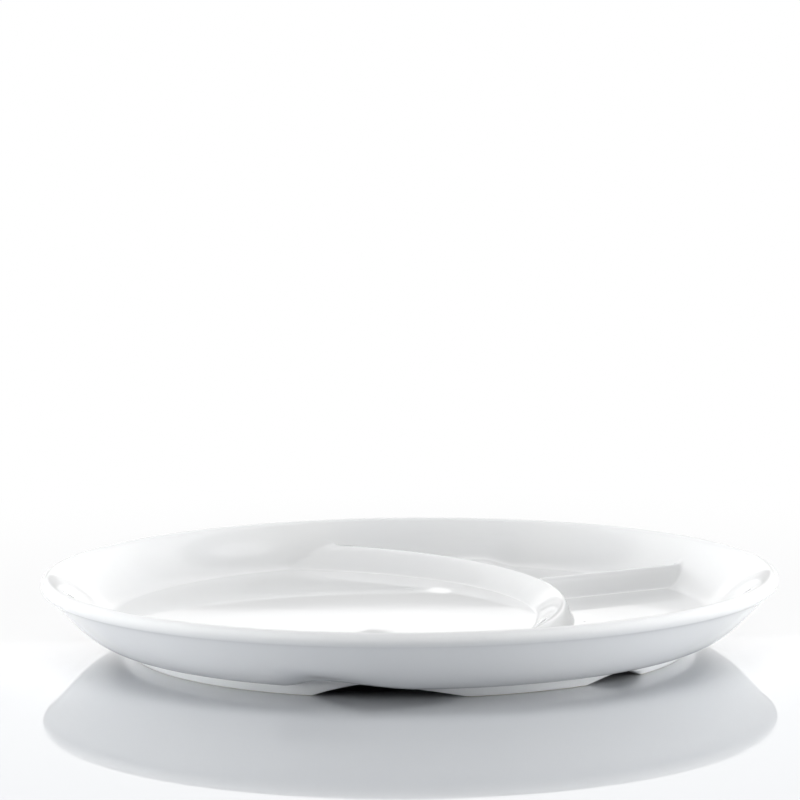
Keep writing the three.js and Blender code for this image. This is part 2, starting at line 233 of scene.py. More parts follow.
class Amount:
    """A number that varies over a surface. Working it out with others adds Math nodes."""

    def __init__(self, tree, socket):
        self.tree = tree
        self.socket = socket

    def math(self, operation, *others, swapped=False):
        values = [*others, self] if swapped else [self, *others]
        node = add(self.tree, "ShaderNodeMath", dict(enumerate(values)), operation=operation)
        return Amount(self.tree, node.outputs[0])

    def __add__(self, other):
        return self.math("ADD", other)

    def __sub__(self, other):
        return self.math("SUBTRACT", other)

    def __rsub__(self, other):
        return self.math("SUBTRACT", other, swapped=True)

    def __mul__(self, other):
        return self.math("MULTIPLY", other)

    def __truediv__(self, other):
        return self.math("DIVIDE", other)

    def above(self, least):
        return self.math("MAXIMUM", least)

    def under(self, most):
        return self.math("MINIMUM", most)

    def root(self):
        return self.math("SQRT")

    def across(self, other):
        """Length of the long side of a right-angled triangle on this one and another."""
        squared = other * other if isinstance(other, Amount) else other**2
        return (self * self + squared).root()

    __radd__ = __add__
    __rmul__ = __mul__


# Outline of the turned plate

def bead_point(angle):
    """A point on the round section of the rolled lip, at an angle in degrees from outwards."""
    turn = math.radians(angle)
    return (
        RIM_RADIUS - LIP_RADIUS + LIP_RADIUS * math.cos(turn),
        PLATE_HEIGHT - LIP_RADIUS + LIP_RADIUS * math.sin(turn),
    )


def shares(steps):
    """Evenly spaced shares from 0 to 1."""
    return [i / steps for i in range(steps + 1)]


def cubic(start, start_pull, end_pull, end, steps):
    """Points along a curve that leaves its ends towards two pull points."""
    weights = [cubic_weights(t) for t in shares(steps)]
    return weighted(weights, (start, start_pull, end_pull, end))


def cubic_weights(t):
    """How much each of four corners counts at a share of the way along a cubic curve."""
    return (1 - t) ** 3, 3 * t * (1 - t) ** 2, 3 * t * t * (1 - t), t**3


def rounded_corner(begin, corner, end, steps):
    """Points along a curve that touches both sides of a corner."""
    weights = [((1 - t) ** 2, 2 * t * (1 - t), t * t) for t in shares(steps)]
    return weighted(weights, (begin, corner, end))


def weighted(weights, corners):
    """One point for each row of weights, which says how much each corner counts."""
    return [tuple(sum(w * c[i] for w, c in zip(row, corners)) for i in (0, 1)) for row in weights]


def foot_outer(z):
    """Radius of the foot's outer face at a height."""
    return FOOT_RADIUS + FOOT_SPREAD * z / FOOT_HEIGHT


def foot_inner(z):
    """Radius of its inner face."""
    return FOOT_RADIUS - FOOT_BAND - FOOT_TAPER * z / UNDERSIDE


def toward(point, target, distance):
    """The point that lies a distance from one point on the way to another."""
    step = Vector(target) - Vector(point)
    return tuple(Vector(point) + step * (distance / step.length))


# The inner face rises from the floor on a curve whose four corners are evenly far apart
# in radius, so that its height is a plain cubic of the radius.
WALL_TOP = bead_point(BEAD_INNER)
WALL_SPAN = WALL_TOP[0] - FLOOR_RADIUS
WALL_PULL = WALL_TOP[1] - WALL_SPAN / 3 * math.tan(math.radians(BEAD_INNER - 90))
WALL_HEIGHTS = (0, 0, WALL_PULL - FLOOR_HEIGHT, WALL_TOP[1] - FLOOR_HEIGHT)

crease = (foot_outer(FOOT_HEIGHT), FOOT_HEIGHT)
belly_pull = (crease[0] + BELLY_OUT, crease[1] - BELLY_DOWN)


def outline():
    """[radius, height] points from the axis under the floor, round the rim, to the axis above it."""
    points = [(radius, UNDERSIDE) for radius in UNDERSIDE_RINGS]
    points += rounded_corner(
        (foot_inner(UNDERSIDE) - HOLLOW_FILLET, UNDERSIDE),
        (foot_inner(UNDERSIDE), UNDERSIDE),
        (foot_inner(UNDERSIDE - HOLLOW_FILLET), UNDERSIDE - HOLLOW_FILLET),
        HOLLOW_STEPS,
    )
    inner_top = UNDERSIDE - HOLLOW_FILLET
    for share in shares(INNER_FOOT_STEPS)[1:-1]:
        z = inner_top + (EDGE_ROUNDING - inner_top) * share
        points.append((foot_inner(z), z))
    ring = (foot_inner(0) + EDGE_ROUNDING, FOOT_RADIUS - EDGE_ROUNDING)
    inner_edge = (foot_inner(EDGE_ROUNDING), EDGE_ROUNDING)
    outer_edge = (foot_outer(EDGE_ROUNDING), EDGE_ROUNDING)
    points += rounded_corner(inner_edge, (foot_inner(0), 0), (ring[0], 0), EDGE_STEPS)
    points += [(ring[0] + (ring[1] - ring[0]) * share, 0) for share in STANDING_RINGS]
    points += rounded_corner((ring[1], 0), (FOOT_RADIUS, 0), outer_edge, EDGE_STEPS)
    below_crease = toward(crease, (FOOT_RADIUS, 0), CREASE_GLAZE)
    for share in shares(OUTER_FOOT_STEPS)[1:-1]:
        z = EDGE_ROUNDING + (below_crease[1] - EDGE_ROUNDING) * share
        points.append((foot_outer(z), z))
    points += rounded_corner(below_crease, crease, toward(crease, belly_pull, CREASE_GLAZE), EDGE_STEPS)
    rim_start = bead_point(BEAD_OUTER)
    rim_turn = math.radians(BEAD_OUTER - 90)
    rim_pull = (
        rim_start[0] + OUTER_BEAD_PULL * math.cos(rim_turn),
        rim_start[1] + OUTER_BEAD_PULL * math.sin(rim_turn),
    )
    belly = cubic(crease, belly_pull, rim_pull, rim_start, BELLY_STEPS)
    points += [point for point in belly if point[0] > crease[0] + 1.5 * CREASE_GLAZE]
    turn = BEAD_INNER - BEAD_OUTER
    points += [bead_point(BEAD_OUTER + turn * share) for share in shares(BEAD_STEPS)[1:-1]]
    for share in shares(WALL_STEPS):
        radius = WALL_TOP[0] - WALL_SPAN * share
        points.append((radius, FLOOR_HEIGHT + wall_rise(radius)))
    points += [(FLOOR_RADIUS * share, FLOOR_HEIGHT) for share in FLOOR_RINGS]
    return points


def wall_rise(radius):
    """How high over the floor the inner face of the wall is."""
    weights = cubic_weights((radius - FLOOR_RADIUS) / WALL_SPAN)
    return sum(w * h for w, h in zip(weights, WALL_HEIGHTS))


def outline_mesh():
    """The outline as points, each with how far it follows a notch and a lift of the crease."""
    points = outline()
    bottom = min(range(len(points)), key=lambda i: (points[i][1], points[i][0]))
    fade_start = crease[0] + LIFT_FADE_START
    follows_notch = []
    follows_lift = []
    for i, (radius, z) in enumerate(points):
        outside = i >= bottom
        reach = FOOT_HEIGHT if outside else UNDERSIDE
        on_foot = i < bottom or radius <= crease[0] + CREASE_GLAZE and z < 2 * FOOT_HEIGHT
        follows_notch.append(max(0, 1 - z / reach) if on_foot else 0)
        fade = 1 - min(1, max(0, (radius - fade_start) / LIFT_FADE_WIDTH))
        on_belly = outside and z < LIP_SEAT and radius > FOOT_RADIUS - FOOT_BAND
        smooth_fade = fade * fade * (3 - 2 * fade)
        follows_lift.append(smooth_fade * min(1, z / FOOT_HEIGHT) if on_belly else 0)
    mesh = bpy.data.meshes.new("outline")
    mesh.from_pydata([(radius, 0, z) for radius, z in points], [], [])
    for name, values in (("follows_notch", follows_notch), ("follows_lift", follows_lift)):
        mesh.attributes.new(name, "FLOAT", "POINT").data.foreach_set("value", values)
    return mesh


# Geometry trees

def new_tree(name, sizes):
    """A tree with a mesh and a named input for each size, and its group input and output."""
    tree = bpy.data.node_groups.new(name, "GeometryNodeTree")
    tree.interface.new_socket("Geometry", in_out="INPUT", socket_type="NodeSocketGeometry")
    for label, value in sizes.items():
        kind = "NodeSocketInt" if isinstance(value, int) else "NodeSocketFloat"
        tree.interface.new_socket(label, in_out="INPUT", socket_type=kind)
    tree.interface.new_socket("Material", in_out="INPUT", socket_type="NodeSocketMaterial")
    tree.interface.new_socket("Geometry", in_out="OUTPUT", socket_type="NodeSocketGeometry")
    return tree, add(tree, "NodeGroupInput"), add(tree, "NodeGroupOutput")


def grown(name, start, tree, values):
    """A new object with the plain mesh that a tree makes of a starting mesh."""
    piece = bpy.data.objects.new(name, start)
    scene.collection.objects.link(piece)
    modifier = piece.modifiers.new(tree.name, "NODES")
    modifier.node_group = tree
    for item in tree.interface.items_tree:
        if item.in_out == "INPUT" and item.name in values:
            modifier[item.identifier] = values[item.name]
    evaluated = piece.evaluated_get(bpy.context.evaluated_depsgraph_get())
    piece.data = bpy.data.meshes.new_from_object(evaluated)
    piece.modifiers.clear()
    piece.data.name = name
    piece.data.materials.clear()
    piece.data.materials.append(values["Material"])
    return piece


def notch_sizes(label, notch):
    return {f"{label} {key}": float(value) for key, value in notch.items()}


def finish_tree(tree, inputs, outputs, mesh):
    """Ends a tree: plain geometry with its material on it."""
    real = add(tree, "GeometryNodeRealizeInstances", {"Geometry": mesh}).outputs[0]
    paint = {"Geometry": real, "Material": inputs.outputs["Material"]}
    painted = add(tree, "GeometryNodeSetMaterial", paint)
    tree.links.new(painted.outputs[0], outputs.inputs["Geometry"])


def turned_on_the_wheel(sizes):
    """An outline turned round the axis, with notches pressed into the foot from below."""
    tree, inputs, outputs = new_tree("turned_on_the_wheel", sizes)
    size = {label: Amount(tree, inputs.outputs[label]) for label in sizes}
    rows = add(
        tree,
        "GeometryNodeAttributeDomainSize",
        {"Geometry": inputs.outputs["Geometry"]},
        component="MESH",
    ).outputs["Point Count"]
    around = size["Columns"] + 1
    grid = add(tree, "GeometryNodeMeshGrid", {"Vertices X": rows, "Vertices Y": around})
    index = Amount(tree, add(tree, "GeometryNodeInputIndex").outputs[0])
    row = (index / around).math("FLOOR")
    angle = index.math("MODULO", around) / size["Columns"] * math.tau

    def from_outline(value, data_type):
        sample = add(
            tree,
            "GeometryNodeSampleIndex",
            {"Geometry": inputs.outputs["Geometry"], "Value": value, "Index": row},
            data_type=data_type,
            domain="POINT",
        )
        return sample.outputs["Value"]

    position = add(tree, "GeometryNodeInputPosition").outputs[0]
    place = add(tree, "ShaderNodeSeparateXYZ", {0: from_outline(position, "FLOAT_VECTOR")})
    radius = Amount(tree, place.outputs["X"])
    height = Amount(tree, place.outputs["Z"])
    follows = {}
    for name in ("follows_notch", "follows_lift"):
        stored = add(tree, "GeometryNodeInputNamedAttribute", {"Name": name}, data_type="FLOAT")
        follows[name] = Amount(tree, from_outline(stored.outputs[0], "FLOAT"))

    # Half a turn round, the foot repeats itself
    degrees = (angle * (180 / math.pi)).math("WRAP", 90.0, -90.0)

    def hump(label, corner):
        rising = (degrees - size[f"{label} from"]) / (size[f"{label} crown"] - size[f"{label} from"])
        falling = (size[f"{label} to"] - degrees) / (size[f"{label} to"] - size[f"{label} crown"])
        return rising.math("SMOOTH_MIN", falling, corner).math("SMOOTH_MAX", 0.0, corner).under(1.0)

    def arch(label):
        share = hump(label, ARCH_CORNER)
        swell = 2 * ARCH_SWELL
        return size[f"{label} height"] * (swell * share - (swell - 1) * share * share)

    notch = arch("Wide notch").above(arch("Small notch"))
    bump = hump("Lift", LIFT_CORNER)
    lift = size["Lift height"] * (bump * bump * (3 - 2 * bump))
    pressed = height + follows["follows_notch"] * notch + follows["follows_lift"] * lift
    turned = add(
        tree,
        "ShaderNodeCombineXYZ",
        {"X": radius * angle.math("SINE"), "Y": 0 - radius * angle.math("COSINE"), "Z": pressed},
    )
    moved = {"Geometry": grid.outputs["Mesh"], "Position": turned.outputs[0]}
    placed = add(tree, "GeometryNodeSetPosition", moved).outputs[0]
    closed = add(tree, "GeometryNodeMergeByDistance", {"Geometry": placed, "Distance": SAME_POINT})
    outward = add(tree, "GeometryNodeFlipFaces", {"Mesh": closed.outputs[0]})
    smooth = add(tree, "GeometryNodeSetShadeSmooth", {"Geometry": outward.outputs[0]})
    finish_tree(tree, inputs, outputs, keep_normals(tree, smooth.outputs[0]))
    return tree


def keep_normals(tree, mesh):
    """Notes on each point which way the skin faces there, and that its faces are skin."""
    facing = add(tree, "GeometryNodeInputNormal").outputs[0]
    noted = add(
        tree,
        "GeometryNodeStoreNamedAttribute",
        {"Geometry": mesh, "Name": "skin_normal", "Value": facing},
        data_type="FLOAT_VECTOR",
        domain="POINT",
    )
    marked = add(
        tree,
        "GeometryNodeStoreNamedAttribute",
        {"Geometry": noted.outputs[0], "Name": "skin", "Value": 1.0},
        data_type="FLOAT",
        domain="FACE",
    )
    return marked.outputs[0]


def ridge_over_floor(sizes):
    """A flat net lifted to the height of the dividers where they stand proud of the dish."""
    tree, inputs, outputs = new_tree("ridge_over_floor", sizes)
    size = {label: Amount(tree, inputs.outputs[label]) for label in sizes}
    place = add(tree, "ShaderNodeSeparateXYZ", {0: add(tree, "GeometryNodeInputPosition").outputs[0]})
    x = Amount(tree, place.outputs["X"])
    y = Amount(tree, place.outputs["Y"])
    z = Amount(tree, place.outputs["Z"])  # of the net as it is where this is used

    # Distance from the curved crest, as on a flank of the usual width
    dx = x - CURVED_CREST.x
    dy = y - CURVED_CREST.y
    from_centre = dx.across(dy)
    outside = from_centre - CURVED_RADIUS
    base_centre = CURVED_BASE - CURVED_CREST
    along = (dx * base_centre.x + dy * base_centre.y) / from_centre
    base_squared = CURVED_BASE_RADIUS**2 - base_centre.length_squared
    left_flank = CURVED_RADIUS - along - (along * along + base_squared).root()
    to_right = outside.above(0.0) * size["Flank width"] / size["Right flank width"]
    from_curved = to_right + (0 - outside).above(0.0) * size["Flank width"] / left_flank

    # Distance from the short crest
    dx = x - SHORT_START.x
    dy = y - SHORT_START.y
    before_start = (dx * math.cos(SHORT_TURN) + dy * math.sin(SHORT_TURN)).under(0.0)
    from_short = before_start.across(dy * math.cos(SHORT_TURN) - dx * math.sin(SHORT_TURN))

    def rounded(distance):
        return distance.across(size["Crest rounding"]) - size["Crest rounding"]

    distance = from_curved.math("SMOOTH_MIN", from_short, size["Corner fillet"]).above(0.0)
    slope = 1 - rounded(distance) / rounded(size["Flank width"])
    ridge = (size["Divider height"] * slope).math("SMOOTH_MAX", 0.0, size["Base fillet"])

    # The wall's inner face, and the dividers run up into it
    t = ((x.across(y) - FLOOR_RADIUS) / WALL_SPAN).above(0.0).under(1.0)
    rest = 1 - t
    wall = t * t * (rest * (3 * WALL_HEIGHTS[2]) + t * WALL_HEIGHTS[3])
    softness = (ridge.under(wall) / FILLET_FADE).under(1.0) * size["End fillet"]
    top = ridge.math("SMOOTH_MAX", wall, softness)
    buried = ((wall - top + RAISED_LEAST).above(0.0) * DIVE).under(BURIED)

    def at_height(mesh, height, **chosen):
        spot = add(tree, "ShaderNodeCombineXYZ", {"X": x, "Y": y, "Z": height}).outputs[0]
        moved = {"Geometry": mesh, "Position": spot, **chosen}
        return add(tree, "GeometryNodeSetPosition", moved).outputs[0]

    net = add(tree, "GeometryNodeSetShadeSmooth", {"Geometry": inputs.outputs["Geometry"]}).outputs[0]
    lifted = keep_normals(tree, at_height(net, top + FLOOR_HEIGHT))
    skin = at_height(lifted, z - buried)
    doubled = {"Mesh": skin, "Offset Scale": 0.0, "Individual": False}
    walls = add(tree, "GeometryNodeExtrudeMesh", doubled, mode="FACES")
    bed = at_height(walls.outputs["Mesh"], wall + (FLOOR_HEIGHT - BED), Selection=walls.outputs["Top"])
    plain = add(
        tree,
        "GeometryNodeStoreNamedAttribute",
        {"Geometry": bed, "Name": "skin", "Value": 0.0},
        data_type="FLOAT",
        domain="FACE",
    )
    turned_out = add(tree, "GeometryNodeFlipFaces", {"Mesh": plain.outputs[0]}).outputs[0]
    joined = add(tree, "GeometryNodeJoinGeometry")
    for part in (skin, turned_out):
        tree.links.new(part, joined.inputs[0])
    both = {"Geometry": joined.outputs[0], "Distance": SAME_POINT}
    closed = add(tree, "GeometryNodeMergeByDistance", both)
    finish_tree(tree, inputs, outputs, closed.outputs[0])
    return tree


# Nets of the dividers, seen from above

def across_shares(reach):
    """Places across a divider, in flank widths from its crest, close together where it bends."""
    near_crest = [0.35 * MM * i for i in range(14)]
    middle = [5.2 * MM + 0.75 * MM * i for i in range(4)]
    near_base = [8.2 * MM + 0.4 * MM * i for i in range(9)]
    flank = [place / FLANK_WIDTH for place in near_crest + middle + near_base + [reach]]
    return [-share for share in reversed(flank[1:])] + flank


def net_mesh(name, lines):
    """A flat mesh over lines of points, each line lying to the left of the one before."""
    count = len(lines[0])
    points = [(x, y, 0) for line in lines for x, y in line]
    faces = []
    for i in range(len(lines) - 1):
        for j in range(count - 1):
            a = i * count + j
            faces.append((a, a + 1, a + count + 1, a + count))
    mesh = bpy.data.meshes.new(name)
    mesh.from_pydata(points, [], faces)
    return mesh


def left_flank_width(turn):
    """How far it is from the curved crest to the arc of its left flank, along a radius."""
    base_centre = CURVED_BASE - CURVED_CREST
    along = base_centre.x * math.cos(turn) + base_centre.y * math.sin(turn)
    base_squared = CURVED_BASE_RADIUS**2 - base_centre.length_squared
    return CURVED_RADIUS - along - math.sqrt(base_squared + along**2)


def beside_curved(share, turn):
    """The point beside the curved crest, a share of the flank's width to its left or right."""
    width = left_flank_width(turn) if share > 0 else FLANK_WIDTH
    radius = CURVED_RADIUS - share * width
    return CURVED_CREST + Vector((radius * math.cos(turn), radius * math.sin(turn)))


def turn_at_wall(share, direction):
    """How far the line beside the curved crest turns, one way, until it is up in the wall."""
    middle = math.atan2(-CURVED_CREST.y, -CURVED_CREST.x)
    near, far = 0, math.radians(80)
    for _ in range(40):
        half = (near + far) / 2
        inside = beside_curved(share, middle + direction * half).length < SKIN_END
        near, far = (half, far) if inside else (near, half)
    return middle + direction * near


def curved_net():
    lines = []
    for share in across_shares(SKIN_REACH):
        start, end = turn_at_wall(share, -1), turn_at_wall(share, 1)
        lines.append([beside_curved(share, start + (end - start) * t) for t in shares(CURVED_STEPS)])
    return net_mesh("curved_net", lines)


def along_line(start, direction, centre, radius):
    """How far a line runs from its start until it leaves a circle."""
    offset = start - centre
    middle = -offset.dot(direction)
    return middle + math.sqrt(middle**2 - offset.length_squared + radius**2)


def short_net():
    direction = Vector((math.cos(SHORT_TURN), math.sin(SHORT_TURN)))
    left = Vector((-direction.y, direction.x))
    circle = CURVED_RADIUS + SKIN_REACH - DIVIDER_OVERLAP
    lines = []
    for share in across_shares(SKIN_REACH):
        origin = SHORT_START + left * (share * FLANK_WIDTH)
        start = along_line(origin, direction, CURVED_CREST, circle)
        end = along_line(origin, direction, Vector((0, 0)), SKIN_END)
        lines.append([origin + direction * (start + (end - start) * t) for t in shares(SHORT_STEPS)])
    return net_mesh("short_net", lines)


# Cutting the turned plate into its pieces

def close_cut(bm):
    """Fills the openings that a flat cut has left."""
    edges = [edge for edge in bm.edges if edge.is_boundary]
    bmesh.ops.triangle_fill(bm, edges=edges, use_beauty=True, use_dissolve=False)
    bmesh.ops.recalc_face_normals(bm, faces=bm.faces)


def slice_of(source, name, low=None, high=None, angles=None):
    """What lies between two heights and two angles of a piece, closed at the cuts."""
    bm = bmesh.new()
    bm.from_mesh(source.data)
    for height, upper_stays in ((low, True), (high, False)):
        if height is not None:
            bmesh.ops.bisect_plane(
                bm,
                geom=bm.verts[:] + bm.edges[:] + bm.faces[:],
                dist=0.0001 * MM,
                plane_co=(0, 0, height),
                plane_no=(0, 0, 1),
                clear_inner=upper_stays,
                clear_outer=not upper_stays,
            )
    if angles:
        start, end = angles
        strays = []
        for face in bm.faces:
            middle = face.calc_center_median()
            angle = math.degrees(math.atan2(middle.x, -middle.y))
            if not 0 < (angle - start) % 360 < end - start:
                strays.append(face)
        bmesh.ops.delete(bm, geom=strays, context="FACES")
    close_cut(bm)
    mesh = bpy.data.meshes.new(name)
    bm.to_mesh(mesh)
    bm.free()
    mesh.materials.append(source.data.materials[0])
    piece = bpy.data.objects.new(name, mesh)
    scene.collection.objects.link(piece)
    return piece


def face_as_noted(piece):
    """Lets the skin catch light the way the uncut surface faced, and all other faces plainly."""
    mesh = piece.data
    mesh.shade_smooth()
    facing = mesh.attributes["skin_normal"].data
    skin = mesh.attributes["skin"].data
    normals = []
    for polygon in mesh.polygons:
        for corner in polygon.loop_indices:
            noted = facing[mesh.loops[corner].vertex_index].vector
            normals.append(noted.normalized() if skin[polygon.index].value > 0.5 else polygon.normal)
    mesh.normals_split_custom_set(normals)
    for name in ("skin_normal", "skin"):
        mesh.attributes.remove(mesh.attributes[name])


# Materials

def linear(colour):
    """An sRGB hex colour as linear red, green, blue and alpha."""
    values = [int(colour[i : i + 2], 16) / 255 for i in (1, 3, 5)]
    return [v / 12.92 if v <= 0.04045 else ((v + 0.055) / 1.055) ** 2.4 for v in values] + [1]


def new_material(name):
    material = bpy.data.materials.new(name)
    material.use_nodes = True
    material.node_tree.nodes.clear()
    return material, material.node_tree


def glaze_waver(tree, place):
    """The bump of a fired glaze: slow waves and a faint orange peel."""
    wave = add(tree, "ShaderNodeTexNoise", {"Vector": place, "Scale": 1 / WAVE_WIDTH, "Detail": 1.0})
    peel = add(tree, "ShaderNodeTexNoise", {"Vector": place, "Scale": 1 / PEEL_WIDTH, "Detail": 2.0})
    height = Amount(tree, wave.outputs[0]) * WAVE_HEIGHT + Amount(tree, peel.outputs[0]) * PEEL_HEIGHT
    return add(tree, "ShaderNodeBump", {"Height": height, "Distance": 1.0, "Strength": 1.0}).outputs[0]


def glazed_white(tree, place):
    """The colour of porcelain under clear glaze, faintly clouded."""
    cloud = add(tree, "ShaderNodeTexNoise", {"Vector": place, "Scale": 1 / CLOUD_WIDTH, "Detail": 3.0})
    whites = {"Factor": cloud.outputs[0], COLOUR_A: linear("#eeeff0"), COLOUR_B: linear("#f2f2f1")}
    return add(tree, "ShaderNodeMix", whites, data_type="RGBA").outputs[MIXED_COLOUR]


def glaze_material():
    """Clear gloss glaze fired over white porcelain: a deep even shine that wavers a little."""
    material, tree = new_material("glazed_porcelain")
    place = add(tree, "ShaderNodeTexCoord").outputs["Object"]
    # One speck of iron oxide has fired through the glaze
    from_speck = add(tree, "ShaderNodeVectorMath", {0: place, 1: SPECK}, operation="DISTANCE")
    edges = {"Value": from_speck.outputs["Value"], "From Min": SPECK_CORE, "From Max": SPECK_EDGE}
    clean = add(tree, "ShaderNodeMapRange", edges, interpolation_type="SMOOTHSTEP").outputs[0]
    colours = {"Factor": clean, COLOUR_A: linear("#57524c"), COLOUR_B: glazed_white(tree, place)}
    colour = add(tree, "ShaderNodeMix", colours, data_type="RGBA").outputs[MIXED_COLOUR]
    surface = add(
        tree,
        "ShaderNodeBsdfPrincipled",
        {
            "Base Color": colour,
            "Roughness": GLAZE_ROUGHNESS,
            "IOR": GLAZE_IOR,
            "Normal": glaze_waver(tree, place),
        },
    )
    output = add(tree, "ShaderNodeOutputMaterial")
    tree.links.new(surface.outputs[0], output.inputs["Surface"])
    return material


def bare_material():
    """Glazed like the rest down to a line just above the table, and below it wiped bare and matt."""
    material, tree = new_material("wiped_bare_porcelain")
    place = add(tree, "ShaderNodeTexCoord").outputs["Object"]
    height = Amount(tree, add(tree, "ShaderNodeSeparateXYZ", {0: place}).outputs["Z"])
    wander = add(tree, "ShaderNodeTexNoise", {"Vector": place, "Scale": 1 / WANDER_WIDTH, "Detail": 2.0})
    grain = add(tree, "ShaderNodeTexNoise", {"Vector": place, "Scale": 1 / GRAIN_WIDTH, "Detail": 4.0})
    wandering = height + Amount(tree, wander.outputs[0]) * WANDER_DEPTH
    edges = {"Value": wandering, "From Min": GLAZE_LINE, "From Max": GLAZE_LINE + LINE_SOFTNESS}
    glazed = add(tree, "ShaderNodeMapRange", edges, interpolation_type="SMOOTHSTEP").outputs[0]
    greys = {"Factor": grain.outputs[0], COLOUR_A: linear("#d8d3c8"), COLOUR_B: linear("#efece4")}
    biscuit = add(tree, "ShaderNodeMix", greys, data_type="RGBA").outputs[MIXED_COLOUR]
    colours = {"Factor": glazed, COLOUR_A: biscuit, COLOUR_B: glazed_white(tree, place)}
    colour = add(tree, "ShaderNodeMix", colours, data_type="RGBA").outputs[MIXED_COLOUR]
    surface = add(
        tree,
        "ShaderNodeBsdfPrincipled",
        {
            "Base Color": colour,
            "Roughness": BARE_ROUGHNESS - Amount(tree, glazed) * (BARE_ROUGHNESS - GLAZE_ROUGHNESS),
            "IOR": GLAZE_IOR,
            "Normal": glaze_waver(tree, place),
        },
    )
    output = add(tree, "ShaderNodeOutputMaterial")
    tree.links.new(surface.outputs[0], output.inputs["Surface"])
    return material


def table_material():
    """White acrylic sheet: it mirrors what stands on it and fades to white farther off."""
    material, tree = new_material("glossy_white_table")
    place = add(tree, "ShaderNodeTexCoord").outputs["Object"]
    outside = []
    for middle, near, far in (UNDER_PLATE_PAINTED_SHADOW, MIRRORING, FADED):
        away = add(tree, "ShaderNodeVectorMath", {0: place, 1: middle}, operation="DISTANCE")
        edges = {"Value": away.outputs["Value"], "From Min": near, "From Max": far}
        share = add(tree, "ShaderNodeMapRange", edges, interpolation_type="SMOOTHSTEP")
        outside.append(Amount(tree, share.outputs[0]))
    outside_painted_shadow, nearly_white, all_white = outside
    whiteness = (nearly_white * NEARLY_WHITE + all_white * (1 - NEARLY_WHITE)) * outside_painted_shadow
    light_path = add(tree, "ShaderNodeLightPath")
    camera_ray = Amount(tree, light_path.outputs["Is Camera Ray"])
    looked_at = camera_ray.above(Amount(tree, light_path.outputs["Is Glossy Ray"]))
    fresnel = Amount(tree, add(tree, "ShaderNodeFresnel", {"IOR": ACRYLIC_IOR}).outputs[0])
    # The sheet sends less light back than it shows. Under the plate its colour is a painted shadow, nearly
    # black.
    greys = {"Factor": looked_at, COLOUR_A: linear("#c6cad0"), COLOUR_B: linear("#dbdde0")}
    open_sheet = add(tree, "ShaderNodeMix", greys, data_type="RGBA").outputs[MIXED_COLOUR]
    # Painted shadow: inside the foot ring the table's colour is nearly black
    colours = {"Factor": outside_painted_shadow, COLOUR_A: linear("#1c1e20"), COLOUR_B: open_sheet}
    colour = add(tree, "ShaderNodeMix", colours, data_type="RGBA").outputs[MIXED_COLOUR]
    diffuse = add(tree, "ShaderNodeBsdfDiffuse", {"Color": colour})
    gloss = {"Color": (1, 1, 1, 1), "Roughness": ACRYLIC_ROUGHNESS}
    mirror = add(tree, "ShaderNodeBsdfGlossy", gloss)
    acrylic = add(
        tree,
        "ShaderNodeMixShader",
        {0: (fresnel * ACRYLIC_GLOSS).under(1.0), 1: diffuse.outputs[0], 2: mirror.outputs[0]},
    )
    white = add(tree, "ShaderNodeEmission", {"Color": (1, 1, 1, 1), "Strength": 1.0})
    faded = add(
        tree,
        "ShaderNodeMixShader",
        {0: whiteness * looked_at, 1: acrylic.outputs[0], 2: white.outputs[0]},
    )
    output = add(tree, "ShaderNodeOutputMaterial")
    tree.links.new(faded.outputs[0], output.inputs["Surface"])
    return material


# The pieces

glaze = glaze_material()

wheel_sizes = {
    "Columns": COLUMNS,
    **notch_sizes("Wide notch", WIDE_NOTCH),
    **notch_sizes("Small notch", SMALL_NOTCH),
    **notch_sizes("Lift", LIFT),
}
wheel = turned_on_the_wheel(wheel_sizes)
uncut = grown("uncut_plate", outline_mesh(), wheel, {**wheel_sizes, "Material": glaze})

ridge_sizes = {
    "Divider height": DIVIDER_HEIGHT,
    "Crest rounding": CREST_ROUNDING,
    "Base fillet": BASE_FILLET,
    "End fillet": END_FILLET,
    "Corner fillet": CORNER_FILLET,
    "Flank width": FLANK_WIDTH,
    "Right flank width": RIGHT_FLANK_WIDTH,
}
ridge = ridge_over_floor(ridge_sizes)

pieces = {
    "plate_body": slice_of(uncut, "dish_with_foot", low=PAD_TOP, high=LIP_SEAT),
    "rolled_lip": slice_of(uncut, "rolled_rim", low=LIP_SEAT),
    "curved_divider": grown("long_curved_ridge", curved_net(), ridge, {**ridge_sizes, "Material": glaze}),
    "short_divider": grown("short_straight_ridge", short_net(), ridge, {**ridge_sizes, "Material": glaze}),
}
crowns = [WIDE_NOTCH["crown"], SMALL_NOTCH["crown"]]
crowns += [crown + 180 for crown in crowns] + [crowns[0] + 360]
for i, side in enumerate(("front", "right", "back", "left")):
    pieces[f"foot_pad_{side}"] = slice_of(
        uncut, f"bare_foot_{side}", high=PAD_TOP, angles=(crowns[i], crowns[i + 1])
    )
bpy.data.objects.remove(uncut)

bare = bare_material()
for node, piece in pieces.items():
    face_as_noted(piece)
    if node.startswith("foot_pad"):
        piece.data.materials[0] = bare
    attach(piece, "root")
    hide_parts(node)


# Table, light and camera

def table():
    mesh = bpy.data.meshes.new("table")
    corners = [(x * TABLE_REACH, y * TABLE_REACH, 0) for x, y in ((-1, -1), (1, -1), (1, 1), (-1, 1))]
    mesh.from_pydata(corners, [], [(0, 1, 2, 3)])
    mesh.materials.append(table_material())
    floor = bpy.data.objects.new("table", mesh)
    scene.collection.objects.link(floor)


def soft_box(name, place, target, width, height, power, spin=0):
    """A rectangular lamp that faces a target, turned about its own axis by some degrees."""
    lamp = bpy.data.lights.new(name, "AREA")
    lamp.shape = "RECTANGLE"
    lamp.size = width
    lamp.size_y = height
    lamp.energy = power
    box = bpy.data.objects.new(name, lamp)
    aim = (Vector(target) - Vector(place)).to_track_quat("-Z", "Y").to_matrix().to_4x4()
    box.matrix_world = Matrix.Translation(place) @ aim @ Matrix.Rotation(math.radians(spin), 4, "Z")
    scene.collection.objects.link(box)
    return box


